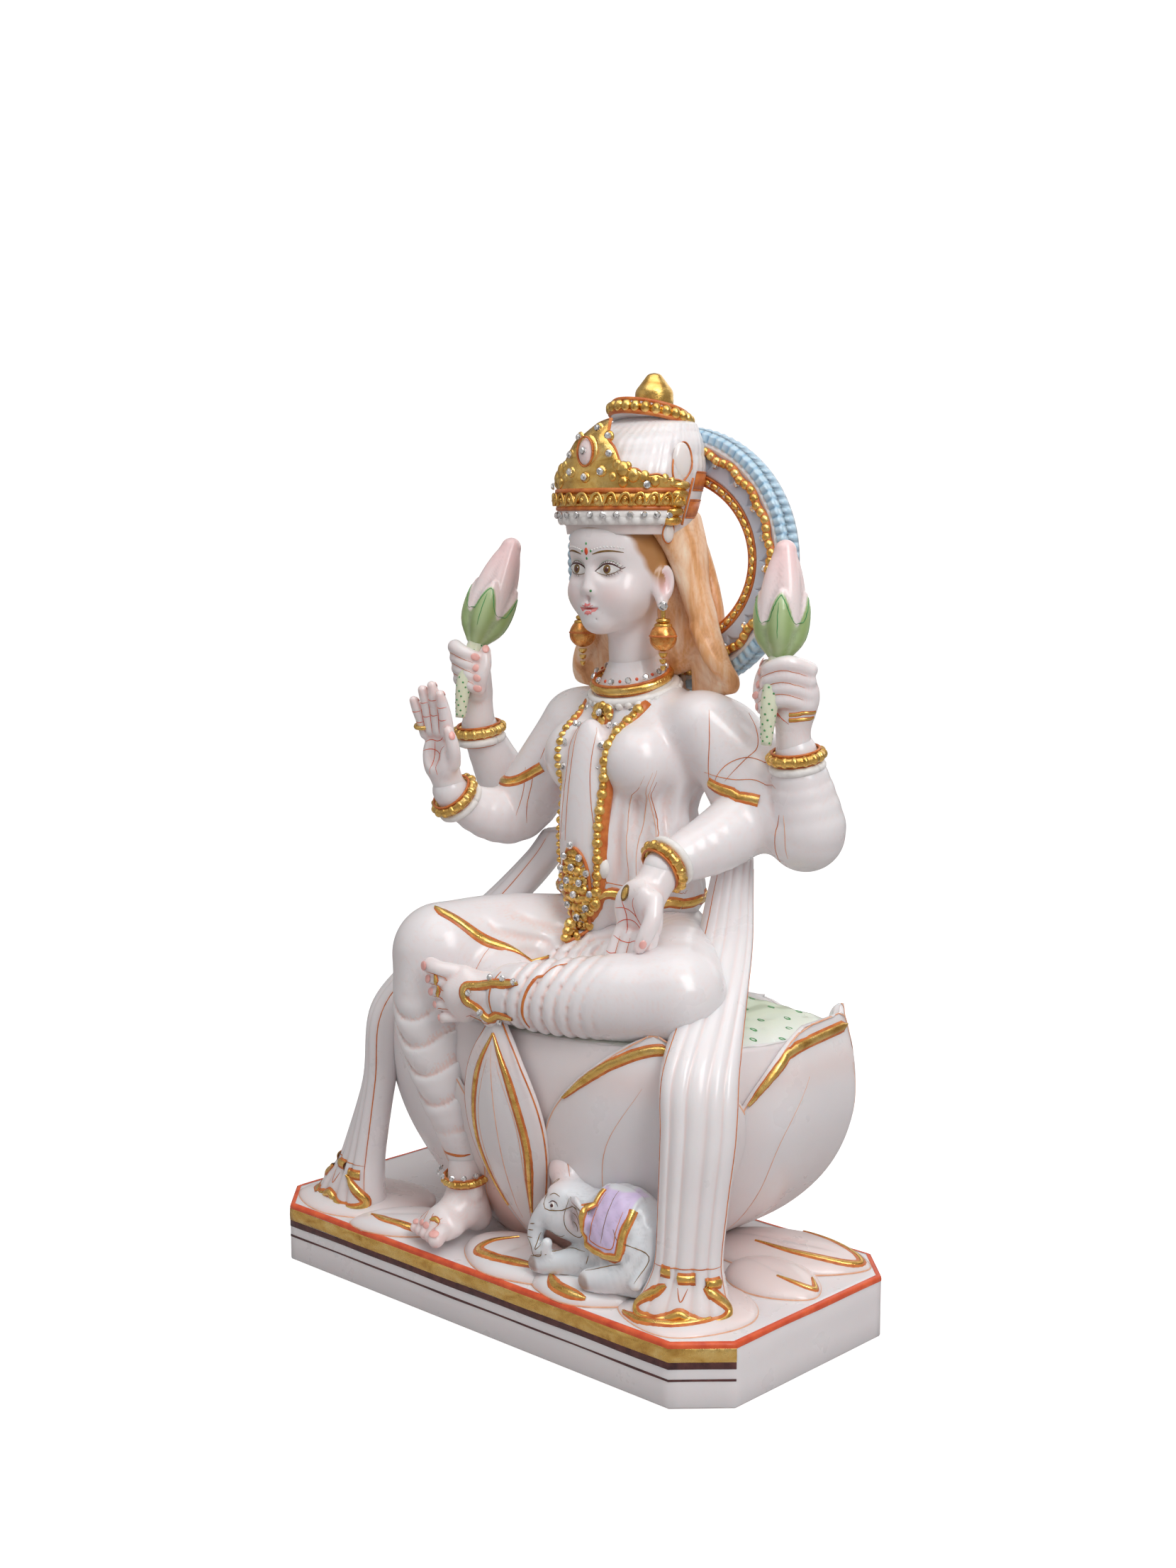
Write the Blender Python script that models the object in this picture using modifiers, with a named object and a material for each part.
"""Marble statue of a four-armed goddess seated on a lotus, 305 mm tall.

Frame: metres, +Z up, the figure faces -Y, her left hand is towards +X.
The origin is the centre of the plinth's underside.
Every carved region is one closed solid. Each new solid is cut back from those
made before it, so that neighbours stand GAP apart along their carved seams.
"""

import math

import bmesh
import bpy
from mathutils import Matrix, Vector

MM = 0.001

# Driving dimensions, in millimetres.
PLINTH_WIDTH = 203.0
PLINTH_DEPTH = 100.0
PLINTH_HEIGHT = 20.0
PLINTH_CHAMFER = 14.0
STATUE_HEIGHT = 305.0
SEAT_TOP = 97.0
BODY_X = 3.5
GAP = 0.3

HALF_D = PLINTH_DEPTH / 2
FLOOR = PLINTH_HEIGHT

# The figure's landmarks, in millimetres.
SHOULDER_Z = 192.0
WAIST_Z = 128.0
GARLAND_FOOT_Z = 131.0
HEAD_CENTRE = (BODY_X, 25.0, 241.0)
CROWN_BASE_Z = 256.0
HALO_CENTRE = (BODY_X + 3.5, 46.0, 243.5)
HALO_OUTER = (48.5, 44.0)
HALO_INNER = (33.5, 27.0)
HALO_THICKNESS = 7.5
WRISTS = {
    "left_front": (44.0, -3.0, 149.0),
    "left_back": (69.0, 31.0, 183.0),
    "right_front": (-50.0, -5.0, 163.0),
    "right_back": (-65.0, 21.0, 183.0),
}

# The lotus seat's cross sections: height, half width, reach forwards from BOWL_Y.
BOWL = (
    (FLOOR + GAP, 40.0, 35.0),
    (34.0, 59.0, 43.0),
    (50.0, 74.0, 49.0),
    (68.0, 81.5, 53.0),
    (86.0, 83.0, 55.0),
    (SEAT_TOP, 81.0, 54.0),
)
BOWL_Y = 18.0
BOWL_BACK = 24.5
FRONT_POWER = 2.15
BACK_POWER = 14.0


def clear_scene():
    for obj in list(bpy.data.objects):
        bpy.data.objects.remove(obj)


def collection(name):
    made = bpy.data.collections.new(name)
    bpy.context.scene.collection.children.link(made)
    return made


def material(name, color, roughness, metallic=0.0):
    made = bpy.data.materials.new(name)
    made.use_nodes = True
    shader = made.node_tree.nodes["Principled BSDF"]
    shader.inputs["Base Color"].default_value = (*color, 1.0)
    shader.inputs["Roughness"].default_value = roughness
    shader.inputs["Metallic"].default_value = metallic
    return made


clear_scene()
PARTS = collection("goddess_statue")
CUTTERS = collection("cutters")
MARBLE = material("marble", (0.86, 0.83, 0.82), 0.35)
SKIN = material("marble_skin", (0.88, 0.84, 0.84), 0.3)
GOLD = material("gold_leaf", (0.78, 0.52, 0.12), 0.3, 1.0)
HAIR = material("hair_paint", (0.66, 0.36, 0.18), 0.45)
GREEN = material("green_wash", (0.68, 0.76, 0.58), 0.4)
PINK = material("pink_wash", (0.86, 0.66, 0.66), 0.35)
GREY = material("grey_wash", (0.62, 0.66, 0.68), 0.4)
BLUE = material("blue_wash", (0.6, 0.72, 0.8), 0.4)


# ---- mesh helpers -------------------------------------------------------


def vec(point):
    return Vector(point) * MM


def face_outwards(bm):
    bmesh.ops.recalc_face_normals(bm, faces=bm.faces)
    if bm.calc_volume(signed=True) < 0:
        bmesh.ops.reverse_faces(bm, faces=bm.faces)


def object_from(bm, name, surface, where):
    mesh = bpy.data.meshes.new(name)
    face_outwards(bm)
    bm.to_mesh(mesh)
    bm.free()
    obj = bpy.data.objects.new(name, mesh)
    obj.data.materials.append(surface)
    where.objects.link(obj)
    return obj


def apply_modifiers(obj):
    """Replaces the object's mesh with what its modifiers make."""
    bpy.context.view_layer.update()
    graph = bpy.context.evaluated_depsgraph_get()
    obj.data = bpy.data.meshes.new_from_object(obj.evaluated_get(graph))
    obj.modifiers.clear()


def keep_largest_body(obj):
    """Deletes the crumbs that a cut leaves beside the main body."""
    bm = bmesh.new()
    bm.from_mesh(obj.data)
    bmesh.ops.triangulate(bm, faces=bm.faces)
    unseen, bodies = set(bm.faces), []
    while unseen:
        stack = [unseen.pop()]
        body = set(stack)
        while stack:
            for edge in stack.pop().edges:
                for face in edge.link_faces if edge.is_manifold else ():
                    if face in unseen:
                        unseen.discard(face)
                        body.add(face)
                        stack.append(face)
        bodies.append(body)
    bodies.sort(key=lambda body: sum(face.calc_area() for face in body))
    crumbs = [face for body in bodies[:-1] for face in body]
    bmesh.ops.delete(bm, geom=crumbs, context="FACES")
    face_outwards(bm)
    bm.to_mesh(obj.data)
    bm.free()


def weld_slivers(obj):
    """Merges points closer than WELD, where that leaves the body closed."""
    whole = obj.data
    for distance in (WELD, WELD / 2, WELD / 4, WELD / 8, WELD / 16, WELD / 32):
        bm = bmesh.new()
        bm.from_mesh(whole)
        bmesh.ops.remove_doubles(bm, verts=bm.verts, dist=distance * MM)
        bmesh.ops.dissolve_degenerate(bm, edges=bm.edges, dist=distance * MM / 2)
        bmesh.ops.triangulate(bm, faces=bm.faces)
        face_outwards(bm)
        welded = whole.copy()
        bm.to_mesh(welded)
        bm.free()
        if 0.99 < closed_volume(welded) / closed_volume(whole) < 1.01:
            obj.data = welded
            return


def box_of(obj):
    corners = [obj.matrix_world @ vert.co for vert in obj.data.vertices]
    low = Vector([min(corner[axis] for corner in corners) for axis in range(3)])
    high = Vector([max(corner[axis] for corner in corners) for axis in range(3)])
    return low, high


def boxes_meet(first, second):
    margin = 2 * GAP * MM
    return all(
        first[0][axis] < second[1][axis] + margin and second[0][axis] < first[1][axis] + margin
        for axis in range(3)
    )


def grown_copy(obj):
    """A cutter: the object's mesh, pushed out by GAP along its normals."""
    cutter = bpy.data.objects.new("cut_by_" + obj.name, obj.data.copy())
    CUTTERS.objects.link(cutter)
    push = cutter.modifiers.new("grow", "DISPLACE")
    push.strength = GAP * MM
    push.mid_level = 0.0
    apply_modifiers(cutter)
    cutter.hide_render = True
    cutter.display_type = "WIRE"
    return cutter


def closed_volume(mesh):
    """The volume in cubic metres, or nothing if the mesh isn't closed."""
    bm = bmesh.new()
    bm.from_mesh(mesh)
    closed = all(edge.is_manifold for edge in bm.edges)
    volume = bm.calc_volume(signed=True) if closed else 0.0
    bm.free()
    return volume


def cut_back(obj, cutter):
    """Takes the cutter out of the object.

    The exact solver loses a body that is cut by nearly flat facets, so the
    manifold solver makes the cut again wherever most of the body has gone.
    """
    whole = obj.data
    for solver in ("EXACT", "MANIFOLD"):
        obj.data = whole
        cut = obj.modifiers.new("clear", "BOOLEAN")
        cut.operation = "DIFFERENCE"
        cut.object = cutter
        cut.solver = solver
        apply_modifiers(obj)
        left = closed_volume(obj.data) / closed_volume(whole)
        if LEAST_LEFT < left < 1.01:
            return


LEAST_LEFT = 0.25
WELD = 0.08
FINISHED = []


def finish(obj):
    """Cuts the object back from every finished neighbour and adds it to them."""
    if obj.modifiers:
        apply_modifiers(obj)
    own_box = box_of(obj)
    for cutter, box in FINISHED:
        if boxes_meet(own_box, box):
            cut_back(obj, cutter)
    keep_largest_body(obj)
    weld_slivers(obj)
    obj.data.shade_smooth()
    obj.data.set_sharp_from_angle(angle=math.radians(40))
    cutter = grown_copy(obj)
    FINISHED.append((cutter, box_of(cutter)))
    return obj


def ball(bm, centre, radii, turn=(0.0, 0.0, 0.0), segments=20):
    """An ellipsoid; turn is in degrees about X, Y and Z."""
    placed = Matrix.Translation(vec(centre))
    for axis, angle in zip("XYZ", turn):
        placed = placed @ Matrix.Rotation(math.radians(angle), 4, axis)
    placed = placed @ Matrix.Diagonal((*vec(radii), 1.0))
    bmesh.ops.create_uvsphere(
        bm, u_segments=segments, v_segments=segments // 2, radius=1.0, matrix=placed
    )


def limb(bm, *stations, segments=14):
    """Cones with balls at their ends, through stations of (point, radius)."""
    for point, radius in stations:
        ball(bm, point, (radius, radius, radius), segments=segments)
    for (start, r1), (end, r2) in zip(stations, stations[1:]):
        along = vec(end) - vec(start)
        turn = along.to_track_quat("Z", "Y").to_matrix().to_4x4()
        middle = Matrix.Translation((vec(start) + vec(end)) / 2)
        bmesh.ops.create_cone(
            bm,
            cap_ends=True,
            segments=segments,
            radius1=r1 * MM,
            radius2=r2 * MM,
            depth=along.length,
            matrix=middle @ turn,
        )


def clay(name, surface, shapes, voxel=2.0, triangles=500, smooth=4):
    """One body made of overlapping shapes, melted together by a voxel remesh."""
    bm = bmesh.new()
    shapes(bm)
    obj = object_from(bm, name, surface, PARTS)
    melt = obj.modifiers.new("melt", "REMESH")
    melt.mode = "VOXEL"
    melt.voxel_size = voxel * MM
    soften = obj.modifiers.new("soften", "SMOOTH")
    soften.factor = 0.5
    soften.iterations = smooth
    apply_modifiers(obj)
    thin = obj.modifiers.new("thin", "DECIMATE")
    thin.ratio = min(1.0, triangles / max(1, 2 * len(obj.data.polygons)))
    return finish(obj)


def loft(name, surface, rings):
    """A skin through rings of equally many points, closed by a flat cap at each end."""
    bm = bmesh.new()
    rows = [[bm.verts.new(vec(point)) for point in ring] for ring in rings]
    count = len(rows[0])
    for low, high in zip(rows, rows[1:]):
        for i in range(count):
            j = (i + 1) % count
            bm.faces.new((low[i], low[j], high[j], high[i]))
    bm.faces.new(list(reversed(rows[0])))
    bm.faces.new(rows[-1])
    return object_from(bm, name, surface, PARTS)


def shell(name, surface, rows, thickness):
    """An open grid of points, made solid inwards."""
    bm = bmesh.new()
    grid = [[bm.verts.new(vec(point)) for point in row] for row in rows]
    for low, high in zip(grid, grid[1:]):
        for i in range(len(low) - 1):
            bm.faces.new((low[i], low[i + 1], high[i + 1], high[i]))
    mesh = bpy.data.meshes.new(name)
    bm.to_mesh(mesh)
    bm.free()
    obj = bpy.data.objects.new(name, mesh)
    obj.data.materials.append(surface)
    PARTS.objects.link(obj)
    thick = obj.modifiers.new("thick", "SOLIDIFY")
    thick.thickness = thickness * MM
    thick.offset = -1.0
    return obj


def tube(name, surface, points, radius, sides=1):
    """A round cord through the points, made a mesh."""
    curve = bpy.data.curves.new(name, "CURVE")
    curve.dimensions = "3D"
    curve.bevel_depth = radius * MM
    curve.bevel_resolution = sides
    curve.use_fill_caps = True
    spline = curve.splines.new("POLY")
    spline.points.add(len(points) - 1)
    for slot, point in zip(spline.points, points):
        slot.co = (*vec(point), 1.0)
    line = bpy.data.objects.new(name + "_line", curve)
    PARTS.objects.link(line)
    bpy.context.view_layer.update()
    graph = bpy.context.evaluated_depsgraph_get()
    mesh = bpy.data.meshes.new_from_object(line.evaluated_get(graph))
    bpy.data.objects.remove(line)
    bm = bmesh.new()
    bm.from_mesh(mesh)
    bmesh.ops.remove_doubles(bm, verts=bm.verts, dist=0.01 * MM)
    return object_from(bm, name, surface, PARTS)


def torus(name, surface, centre, normal, major, minor, squash=1.0):
    """A ring about normal; squash narrows it across the second direction."""
    bpy.ops.mesh.primitive_torus_add(
        major_segments=16,
        minor_segments=6,
        major_radius=major * MM,
        minor_radius=minor * MM,
    )
    obj = bpy.context.object
    turn = Vector(normal).to_track_quat("Z", "Y").to_matrix().to_4x4()
    narrow = Matrix.Diagonal((1.0, squash, 1.0, 1.0))
    obj.data.transform(Matrix.Translation(vec(centre)) @ turn @ narrow)
    obj.matrix_world = Matrix.Identity(4)
    obj.name = name
    obj.data.name = name
    obj.data.materials.append(surface)
    for holder in list(obj.users_collection):
        holder.objects.unlink(obj)
    PARTS.objects.link(obj)
    return obj


def front_of(objects, x, z, stand_off):
    """The point stand_off in front of the foremost of the objects at x, z."""
    nearest = HALF_D
    for obj in objects:
        hit, place, _, _ = obj.ray_cast(vec((x, -2 * HALF_D, z)), Vector((0, 1, 0)))
        if hit:
            nearest = min(nearest, place.y / MM)
    return (x, nearest - stand_off, z)


def signed_power(value, power):
    return math.copysign(abs(value) ** power, value)


def superellipse(angle, half_x, half_y, power):
    cosine, sine = math.cos(angle), math.sin(angle)
    return (
        half_x * signed_power(cosine, 2.0 / power),
        half_y * signed_power(sine, 2.0 / power),
    )


def blend_rows(rows, height):
    """Reads a table whose first column is height, straight between its rows."""
    for low, high in zip(rows, rows[1:]):
        if height <= high[0]:
            share = (height - low[0]) / (high[0] - low[0])
            return [a + (b - a) * share for a, b in zip(low, high)]
    return list(rows[-1])


# ---- plinth and the petals lying on it ----------------------------------


def plinth():
    bm = bmesh.new()
    size = Matrix.Diagonal((PLINTH_WIDTH * MM, PLINTH_DEPTH * MM, PLINTH_HEIGHT * MM, 1.0))
    lift = Matrix.Translation((0, 0, PLINTH_HEIGHT * MM / 2))
    bmesh.ops.create_cube(bm, size=1.0, matrix=lift @ size)
    upright = [e for e in bm.edges if abs(e.verts[0].co.z - e.verts[1].co.z) > MM]
    bmesh.ops.bevel(
        bm, geom=upright, offset=PLINTH_CHAMFER * MM, segments=1, affect="EDGES"
    )
    return finish(object_from(bm, "plinth", MARBLE, PARTS))


def base_petal(name, centre, heading, length, width, height):
    """A pointed petal lying on the plinth; heading is its tip's direction from +X."""
    bm = bmesh.new()
    ball(bm, (0, 0, 0), (length / 2, width / 2, height), segments=14)
    for vert in bm.verts:
        along = vert.co.x / (length / 2 * MM)
        vert.co.y *= 1.0 - 0.35 * max(0.0, along) ** 2
        vert.co.z *= 1.0 - 0.25 * along
    place = Matrix.Translation(vec((*centre, FLOOR))) @ Matrix.Rotation(
        math.radians(heading), 4, "Z"
    )
    bm.transform(place)
    return finish(object_from(bm, name, MARBLE, PARTS))


def base_petals():
    base_petal("base_petal_right_corner", (-72, -28), 200, 46, 34, 6.0)
    base_petal("base_petal_right_front", (-40, -38), 215, 34, 20, 4.0)
    base_petal("base_petal_front", (12, -35), 262, 26, 44, 5.0)
    base_petal("base_petal_elephant", (43, -37), 285, 24, 36, 6.0)
    base_petal("base_petal_left_corner", (74, -28), 295, 38, 36, 6.0)
    base_petal("base_petal_left_side", (82, 10), 350, 30, 22, 4.0)
    base_petal("base_petal_left_back", (70, 32), 18, 50, 26, 5.0)
    base_petal("base_petal_right_back", (-70, 30), 165, 50, 28, 5.0)


# ---- lotus seat ---------------------------------------------------------


def bowl_point(angle, height, outwards=0.0):
    """A point on the bowl, pushed outwards in its plane: round in front, flat behind."""
    _, half_x, reach = blend_rows(BOWL, height)
    if math.sin(angle) > 0:
        x, y = superellipse(angle, half_x + outwards, BOWL_BACK + outwards, BACK_POWER)
    else:
        x, y = superellipse(angle, half_x + outwards, reach + outwards, FRONT_POWER)
    return (x, y + BOWL_Y, height)


def lotus_core():
    turns = [2 * math.pi * i / 32 for i in range(32)]
    rings = [[bowl_point(turn, row[0]) for turn in turns] for row in BOWL]
    return finish(loft("lotus_core", MARBLE, rings))


PETAL_ROWS = 7
PETAL_COLUMNS = 5
PETAL_FOOT_Z = 24.0
PETAL_EDGE = 1.7
PETAL_REAR = 0.6


def seat_petal(name, heading, spread, tip_z, bulge=2.5, lean=1.5):
    """A petal wrapped on the bowl. Spread is its half width as an angle in degrees."""
    rings = []
    for j in range(PETAL_ROWS + 1):
        v = j / PETAL_ROWS
        height = PETAL_FOOT_Z + (tip_z - PETAL_FOOT_Z) * v
        width = spread * math.sin(math.pi * min(1.0, 0.16 + 0.84 * v) ** 1.15) ** 0.75
        width = max(width, 0.05 * spread)
        front, rear = [], []
        for i in range(2 * PETAL_COLUMNS + 1):
            u = -1 + i / PETAL_COLUMNS
            angle = math.radians(heading + u * width)
            out = PETAL_EDGE + bulge * (1 - u * u) * math.sin(math.pi * v) ** 0.7 + lean * v
            front.append(bowl_point(angle, height, out))
            rear.append(bowl_point(angle, height, PETAL_REAR))
        rings.append(front + rear[::-1])
    return finish(loft(name, MARBLE, rings))


def seat_petals():
    seat_petal("seat_petal_front", 274, 11, 103, bulge=3.5, lean=3.0)
    seat_petal("seat_petal_front_left", 306, 26, 99)
    seat_petal("seat_petal_front_right", 240, 28, 99)
    seat_petal("seat_petal_left_side", 339, 23, 101)
    seat_petal("seat_petal_right_side", 201, 23, 101)
    seat_petal("seat_petal_left_corner", 38, 35, 101)
    seat_petal("seat_petal_right_corner", 142, 35, 101)
    seat_petal("seat_petal_back", 90, 17, 99, bulge=2.0, lean=1.0)


def seed_pod():
    """The green pod top that she sits on, a low dome inside the petals' rim."""
    turns = [2 * math.pi * i / 24 for i in range(24)]
    rings = []
    for height, scale in ((0.3, 0.96), (3.0, 0.93), (5.5, 0.8), (7.5, 0.55)):
        ring = []
        for turn in turns:
            x, y, _ = bowl_point(turn, SEAT_TOP)
            ring.append((x * scale, BOWL_Y + (y - BOWL_Y) * scale, SEAT_TOP + height))
        rings.append(ring)
    return finish(loft("seed_pod", GREEN, rings))


# ---- figure -------------------------------------------------------------


def torso_shapes(bm):
    ball(bm, (BODY_X, 28, 178), (30, 17, 24))
    ball(bm, (BODY_X, 31, SHOULDER_Z - 1), (35, 12, 11))
    ball(bm, (BODY_X - 13.5, 15.5, 178), (12, 12, 13))
    ball(bm, (BODY_X + 13.5, 15.5, 178), (12, 12, 13))
    ball(bm, (BODY_X, 26, 150), (27, 18, 28))
    ball(bm, (BODY_X, 26, 137), (28, 18, 14))
    ball(bm, (BODY_X, 17, 155), (15, 11, 34))
    limb(bm, ((BODY_X, 30, 200), 12), ((BODY_X, 28, 207), 10))


def hips_shapes(bm):
    ball(bm, (BODY_X, 28, 112), (37, 21, 14))
    ball(bm, (BODY_X, 12, 110), (20, 18, 11))
    ball(bm, (BODY_X, 28, 122), (28, 17, 12))


def left_leg_shapes(bm):
    limb(bm, ((24, 22, 114), 15.5), ((44, 4, 114), 15), ((57, -11, 112), 14))
    limb(bm, ((57, -13, 111), 14), ((30, -29, 109), 12.5), ((9, -35, 108), 10))


def right_leg_shapes(bm):
    limb(bm, ((-15, 20, 114), 15.5), ((-33, -25, 116), 15))
    limb(bm, ((-33, -28, 113), 15), ((-28, -31, 84), 13.5), ((-21, -30, 55), 9))
    limb(bm, ((-21, -30, 55), 9), ((-19, -29, 46), 6.5))


def left_foot_shapes(bm):
    limb(bm, ((6, -37, 108), 6.5), ((-6, -40, 107), 6.5))
    for i in range(5):
        drop = 4.1 * i
        tip = (-19 + 1.1 * i * i * 0.6, -43.5, 114 - drop)
        limb(bm, ((-6, -41, 112 - 0.85 * drop), 3.4), (tip, 2.6 - 0.12 * i), segments=10)


def right_foot_shapes(bm):
    limb(bm, ((-19, -29, 47), 6), ((-19, -30, 34), 6.5), ((-19, -36, 29), 7))
    for i in range(5):
        tip = (-13.5 - 3.4 * i, -46.3 + 0.8 * i, 26.2)
        limb(bm, ((-16.5 - 1.6 * i, -37, 28), 4), (tip, 2.6 - 0.1 * i), segments=10)


def head_shapes(bm):
    x, y, z = HEAD_CENTRE
    ball(bm, (x, y, z + 4), (16.5, 18.5, 19))
    ball(bm, (x, y - 6, z - 7), (13.5, 12.5, 14))
    ball(bm, (x, y - 11.5, z - 16), (6, 6, 5))
    limb(bm, ((x, y + 2, z - 30), 8.5), ((x, y + 3, z - 20), 8.2))
    ball(bm, (x, y - 19, z - 5), (2.4, 3.2, 2.8))


def hair_shapes(bm):
    x, y, z = HEAD_CENTRE
    ball(bm, (x, y + 8, z), (20.5, 13, 22))
    ball(bm, (x, y + 13, z - 18), (27, 8, 19))
    for side in (-1, 1):
        limb(
            bm,
            ((x + side * 16, y + 6, z + 10), 5.5),
            ((x + side * 18.5, y + 9, z - 8), 6),
            ((x + side * 24, y + 11, z - 22), 7.5),
            ((x + side * 30, y + 13, z - 33), 7.5),
        )


def torso():
    return clay("torso", MARBLE, torso_shapes, voxel=2.4, triangles=640, smooth=6)


def crown():
    """The domed cap, leaning back, whose foot closes on the brow."""
    sections = (
        (CROWN_BASE_Z + 1.0, 21.5, 20.0, 25.0),
        (CROWN_BASE_Z + 8.0, 23.0, 21.0, 26.0),
        (CROWN_BASE_Z + 17.0, 24.0, 20.5, 28.0),
        (CROWN_BASE_Z + 26.0, 21.5, 17.5, 31.0),
        (CROWN_BASE_Z + 32.0, 17.0, 12.0, 35.0),
        (CROWN_BASE_Z + 34.5, 11.0, 8.0, 37.0),
    )
    rings = []
    for height, half_x, half_y, centre_y in sections:
        ring = []
        for i in range(20):
            x, y = superellipse(2 * math.pi * i / 20, half_x, half_y, 2.2)
            ring.append((BODY_X + x, centre_y + y, height))
        rings.append(ring)
    return finish(loft("crown", MARBLE, rings))


TIARA_PATH = (
    (CROWN_BASE_Z, 21.0, 18.5, 25.0),
    (CROWN_BASE_Z + 10.0, 22.5, 19.5, 26.0),
    (CROWN_BASE_Z + 20.0, 23.0, 18.0, 27.0),
    (CROWN_BASE_Z + 36.0, 21.5, 16.0, 28.0),
)


def tiara():
    """The jewelled plate round the crown's front, highest over the brow."""
    rows = []
    for j in range(4):
        v = j / 3
        row = []
        for i in range(17):
            turn = math.radians(-78 + 9.75 * i)
            peak = 8.5 + 16.5 * math.exp(-((turn / 0.42) ** 2)) + 7.0 * abs(math.cos(turn))
            height = CROWN_BASE_Z + 1.5 + peak * v
            _, half_x, half_y, centre_y = blend_rows(TIARA_PATH, height)
            x = BODY_X + (half_x + 2.6) * math.sin(turn)
            y = centre_y - (half_y + 2.6) * math.cos(turn)
            row.append((x, y, height))
        rows.append(row)
    return finish(shell("tiara", GOLD, rows, 2.4))


def crown_ring():
    ring = torus("crown_ring", GOLD, (BODY_X, 36, 291.3), (0, -0.18, 1), 13, 2.3, 0.85)
    return finish(ring)


def turned(name, surface, centre, profile, steps=16):
    """A solid of revolution; profile is (radius, height) from the top down."""
    bm = bmesh.new()
    verts = [bm.verts.new((r * MM, 0.0, h * MM)) for r, h in profile]
    for upper, lower in zip(verts, verts[1:]):
        bm.edges.new((upper, lower))
    mesh = bpy.data.meshes.new(name)
    bm.to_mesh(mesh)
    bm.free()
    obj = bpy.data.objects.new(name, mesh)
    obj.data.materials.append(surface)
    PARTS.objects.link(obj)
    spin = obj.modifiers.new("spin", "SCREW")
    spin.steps = steps
    spin.render_steps = steps
    spin.use_merge_vertices = True
    spin.merge_threshold = 0.00001
    apply_modifiers(obj)
    obj.data.transform(Matrix.Translation(vec(centre)))
    return obj


def finial():
    tip = STATUE_HEIGHT - 290.5
    profile = (
        (0.0, tip),
        (1.4, tip - 0.4),
        (3.6, tip - 3.6),
        (5.4, tip - 6.6),
        (6.1, tip - 9.0),
        (6.0, 1.2),
        (6.0, 0.3),
        (0.0, 0.3),
    )
    return finish(turned("crown_finial", GOLD, (BODY_X, 37, 290.5), profile))


def halo():
    """The arch plate behind the head, open between its inner edge and the hair."""
    x0, y0, z0 = HALO_CENTRE
    bm = bmesh.new()
    count = 44
    loops = []
    for depth in (-HALO_THICKNESS / 2, HALO_THICKNESS / 2):
        for half_x, half_z in (HALO_OUTER, HALO_INNER):
            loops.append(
                [
                    bm.verts.new(
                        vec(
                            (
                                x0 + half_x * math.cos(2 * math.pi * i / count),
                                y0 + depth,
                                z0 + half_z * math.sin(2 * math.pi * i / count),
                            )
                        )
                    )
                    for i in range(count)
                ]
            )
    front_out, front_in, back_out, back_in = loops
    for first, second in (
        (front_out, front_in),
        (front_in, back_in),
        (back_in, back_out),
        (back_out, front_out),
    ):
        for i in range(count):
            j = (i + 1) % count
            bm.faces.new((first[i], first[j], second[j], second[i]))
    return finish(object_from(bm, "halo", BLUE, PARTS))


def hand_shapes(wrist, palm, fingers, thumb):
    """Shapes for an open hand: a palm and five fingers given by their tips."""

    def shapes(bm):
        limb(bm, (wrist, 5.2), (palm, 7.0))
        for base, tip, radius in fingers:
            limb(bm, (palm, 4.5), (base, radius + 0.3), (tip, radius - 0.4), segments=10)
        limb(bm, (wrist, 4.5), (thumb[0], 3.2), (thumb[1], 2.4), segments=10)

    return shapes


def arms():
    """Each arm from its shoulder to its wrist."""
    runs = {
        "left_front": (((36, 30, 190), 12), ((49, 33, 162), 11.5), ((47, 14, 154), 9.5)),
        "left_back": (((40, 37, 188), 11), ((69, 36, 157), 13), ((69, 33, 170), 11)),
        "right_front": (((-26, 28, 186), 11), ((-41, 20, 156), 11), ((-46, 7, 156), 9)),
        "right_back": (((-29, 34, 182), 10), ((-58, 34, 158), 10.5), ((-63, 28, 170), 9)),
    }
    for side, stations in runs.items():
        wrist = (WRISTS[side], 6.0)
        clay(
            side + "_arm",
            SKIN,
            lambda bm, stations=stations, wrist=wrist: limb(bm, *stations, wrist),
            voxel=2.4,
            triangles=230,
        )


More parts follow.
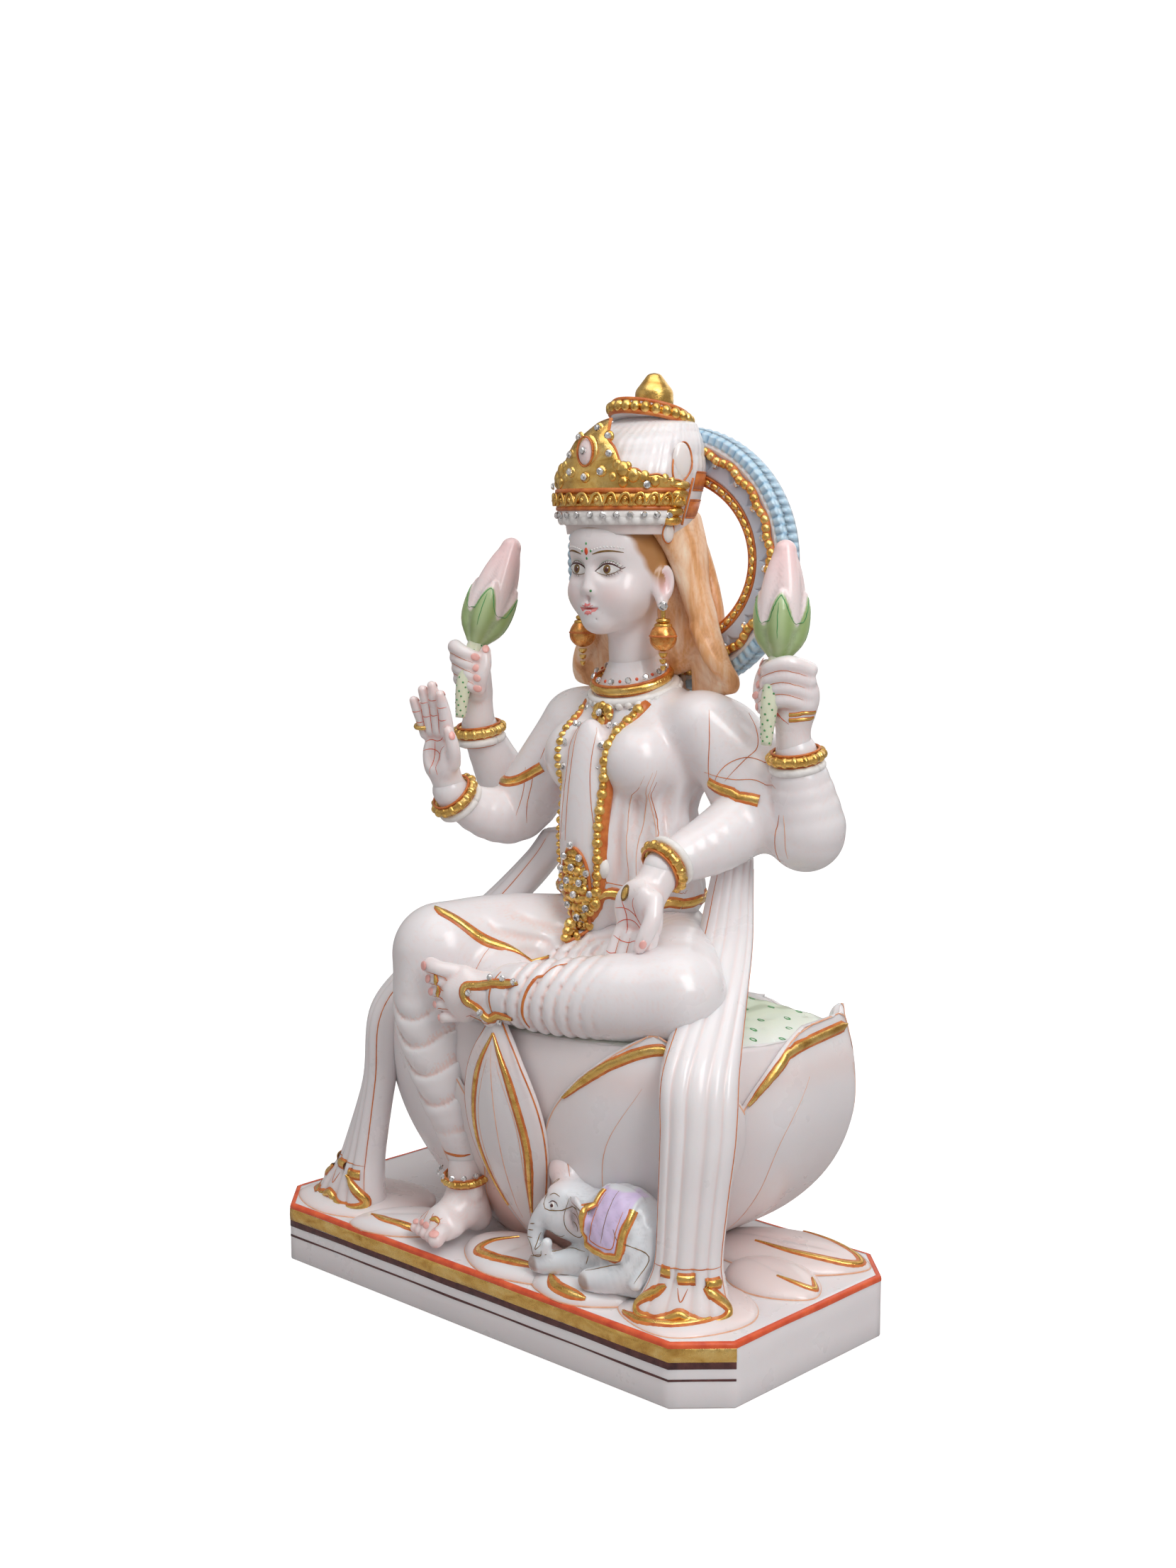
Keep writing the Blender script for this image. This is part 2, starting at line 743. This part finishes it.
def hands():
    x, y, z = WRISTS["left_front"]
    clay(
        "left_front_hand",
        SKIN,
        hand_shapes(
            (x, y - 2, z - 1),
            (x - 2, y - 8, z - 12),
            [
                ((x - 7, y - 12, z - 19), (x - 8.5, y - 15, z - 31), 2.6),
                ((x - 3.5, y - 12.5, z - 20), (x - 4.5, y - 15.5, z - 33), 2.6),
                ((x, y - 12, z - 20), (x, y - 15.5, z - 32), 2.6),
                ((x + 3.5, y - 11, z - 19), (x + 4.5, y - 15, z - 29.5), 2.4),
            ],
            ((x + 4.5, y - 10, z - 10), (x + 3.5, y - 14, z - 18)),
        ),
        voxel=1.4,
        triangles=360,
        smooth=2,
    )
    x, y, z = WRISTS["right_front"]
    clay(
        "right_front_hand",
        SKIN,
        hand_shapes(
            (x, y, z + 1),
            (x - 1, y - 5, z + 14),
            [
                ((x - 7.5, y - 8, z + 23), (x - 8, y - 12, z + 33.5), 2.5),
                ((x - 3.5, y - 8, z + 24), (x - 3.5, y - 12.5, z + 37), 2.6),
                ((x + 0.5, y - 8, z + 24), (x + 1, y - 12.5, z + 38.5), 2.6),
                ((x + 4, y - 7.5, z + 23), (x + 5.5, y - 12, z + 36), 2.5),
            ],
            ((x + 7, y - 6, z + 13), (x + 7.5, y - 8, z + 22)),
        ),
        voxel=1.4,
        triangles=360,
        smooth=2,
    )
    for side in ("left_back", "right_back"):
        x, y, z = WRISTS[side]

        def fist(bm, x=x, y=y, z=z):
            limb(bm, ((x, y, z + 1), 5.4), ((x, y - 1, z + 14), 8.0), ((x, y - 2, z + 20), 8.0))
            for i in range(4):
                knuckle = (x - 6 + 4 * i, y - 8, z + 26 - 1.5 * i)
                limb(bm, ((x - 3 + 2 * i, y - 3, z + 20), 4), (knuckle, 3.2), segments=10)

        clay(side + "_hand", SKIN, fist, voxel=1.8, triangles=240, smooth=2)


def lotus_bud(name, base, tip, radius):
    """A closed bud on a short neck, held upright in a rear hand."""
    axis = Vector(tip) - Vector(base)
    shape = ((0.0, 0.34), (0.18, 0.8), (0.36, 1.0), (0.58, 0.92), (0.78, 0.66), (0.97, 0.36))

    def shapes(bm):
        limb(bm, *[(Vector(base) + axis * t, radius * share) for t, share in shape])

    return clay(name, PINK, shapes, voxel=1.8, triangles=200, smooth=3)


def bangles():
    facing = {
        "left_front": (0.15, -1.0, -0.5),
        "left_back": (0.0, -0.2, 1.0),
        "right_front": (-0.1, -0.7, 0.7),
        "right_back": (0.0, -0.2, 1.0),
    }
    for side, normal in facing.items():
        finish(torus(side + "_bangle", GOLD, WRISTS[side], normal, 8.0, 2.2))


def necklaces(chest):
    """The long garland hangs as a U from both collar bones to the belt."""
    points = []
    for i in range(27):
        turn = math.pi * (i / 26 - 0.5)
        width = 7.5 + 4.5 * abs(turn / math.pi * 2) ** 3
        points.append((BODY_X + width * signed_power(math.sin(turn), 0.7), 196, turn))
    line = [
        front_of(chest, x, top - (196 - GARLAND_FOOT_Z) * math.cos(turn) ** 0.8, 1.7)
        for x, top, turn in points
    ]
    finish(tube("long_necklace", GOLD, line, 1.9))
    ring = torus("choker", GOLD, (BODY_X, 26.5, 204.5), (0, -0.32, 1), 14.5, 2.0, 0.86)
    finish(ring)
    x, y, z = front_of(chest, BODY_X, 194, 0.0)

    def pendant_shapes(bm):
        ball(bm, (x, y - 0.8, z), (5.5, 3.4, 4.5))
        ball(bm, (x, y - 0.8, z - 4.5), (3.2, 2.8, 4.0))

    clay("pendant", GOLD, pendant_shapes, voxel=1.1, triangles=160, smooth=1)
    low = front_of(chest, BODY_X, 134, 0.0)

    def drop_shapes(bm):
        ball(bm, (low[0], low[1] - 1.0, low[2]), (6.5, 3.2, 11))

    clay("waist_jewel", GOLD, drop_shapes, voxel=1.4, triangles=160, smooth=1)


def belt():
    band = torus("belt", GOLD, (BODY_X, 26, WAIST_Z + 2), (0, 0, 1), 29, 2.4, 0.68)
    return finish(band)


def anklets():
    finish(torus("left_anklet", GOLD, (3, -37.5, 108), (1, 0.2, 0), 7.6, 1.6))
    finish(torus("right_anklet", GOLD, (-19, -29.5, 40), (0, -0.15, 1), 7.8, 1.7))


def earrings():
    x, y, z = HEAD_CENTRE
    for side, name in ((1, "left_earring"), (-1, "right_earring")):
        drop = (x + side * 18.0, y - 3.5, z - 22.5)
        profile = (
            (0.0, 10.5),
            (1.7, 10.0),
            (1.7, 7.0),
            (4.2, 3.0),
            (4.2, 0.0),
            (1.9, -3.0),
            (1.7, -6.0),
            (0.0, -6.6),
        )
        finish(turned(name, GOLD, drop, profile, steps=10))


def sash(name, stations):
    """A hanging scarf end, lofted through (centre, half width, half depth, turn)."""
    rings = []
    for centre, half_w, half_t, turn in stations:
        angle = math.radians(turn)
        ring = []
        for i in range(12):
            u, w = superellipse(2 * math.pi * i / 12, half_w, half_t, 2.5)
            ring.append(
                (
                    centre[0] + u * math.cos(angle) - w * math.sin(angle),
                    centre[1] + u * math.sin(angle) + w * math.cos(angle),
                    centre[2],
                )
            )
        rings.append(ring)
    return finish(loft(name, MARBLE, rings))


def sashes():
    """Both scarf ends fall from the elbows, round the thighs, to the plinth."""
    sash(
        "left_sash",
        (
            ((77, -31, FLOOR + 0.5), 13, 8, 35),
            ((77, -29, 36), 10.5, 6.5, 35),
            ((78, -28, 55), 11, 6.5, 35),
            ((79, -27, 75), 11.5, 6.5, 35),
            ((75, -22, 95), 12, 7, 45),
            ((65, -4, 112), 10, 7, 60),
            ((49, 22, 128), 8, 7, 60),
            ((42, 34, 146), 6, 6, 60),
        ),
    )
    sash(
        "right_sash",
        (
            ((-76, -32, FLOOR + 0.5), 13, 7, -20),
            ((-69, -31, 40), 10, 5.5, -30),
            ((-62, -28, 70), 9.5, 5.5, -40),
            ((-61, -24, 95), 10, 6.5, -45),
            ((-56, 2, 113), 10, 8, -50),
            ((-43, 22, 130), 11, 8, -50),
            ((-33, 30, 148), 8, 6, -60),
        ),
    )


def elephant():
    def shapes(bm):
        ball(bm, (53, -34, 35), (15, 11, 14))
        ball(bm, (36, -39, 40), (8.5, 8, 9))
        limb(bm, ((31, -43, 39), 3.6), ((28, -45, 33), 2.8), ((30, -46, 28), 2.2), segments=10)
        limb(bm, ((40, -38, 28), 5), ((33, -43, 25), 3.4), segments=10)
        limb(bm, ((54, -40, 27), 5), ((52, -45, 24), 3.4), segments=10)

    return clay("elephant", GREY, shapes, voxel=1.8, triangles=420, smooth=3)


def armlets():
    finish(torus("left_armlet", GOLD, (46, 32.5, 169), (0.45, 0.1, -1.0), 12.3, 1.9))
    finish(torus("right_armlet", GOLD, (-36, 22.8, 166), (-0.45, -0.25, -1.0), 11.6, 1.9))


def build():
    plinth()
    lotus_core()
    seed_pod()
    chest = torso()
    clay("hips", MARBLE, hips_shapes, voxel=2.6, triangles=260)
    clay("right_leg", MARBLE, right_leg_shapes, voxel=2.4, triangles=360)
    clay("left_leg", MARBLE, left_leg_shapes, voxel=2.4, triangles=360)
    clay("left_foot", SKIN, left_foot_shapes, voxel=1.3, triangles=330, smooth=2)
    clay("right_foot", SKIN, right_foot_shapes, voxel=1.3, triangles=330, smooth=2)
    clay("head", SKIN, head_shapes, voxel=1.8, triangles=560)
    halo()
    crown()
    crown_ring()
    finial()
    clay("hair", HAIR, hair_shapes, voxel=2.4, triangles=380)
    tiara()
    arms()
    hands()
    lotus_bud("left_lotus_bud", (69.5, 28, 213), (65.5, 29, 251), 8.2)
    lotus_bud("right_lotus_bud", (-60.5, 21, 212), (-55.5, 33, 251), 8.6)
    bangles()
    armlets()
    necklaces([chest])
    belt()
    anklets()
    earrings()
    elephant()
    sashes()
    seat_petals()
    base_petals()


build()
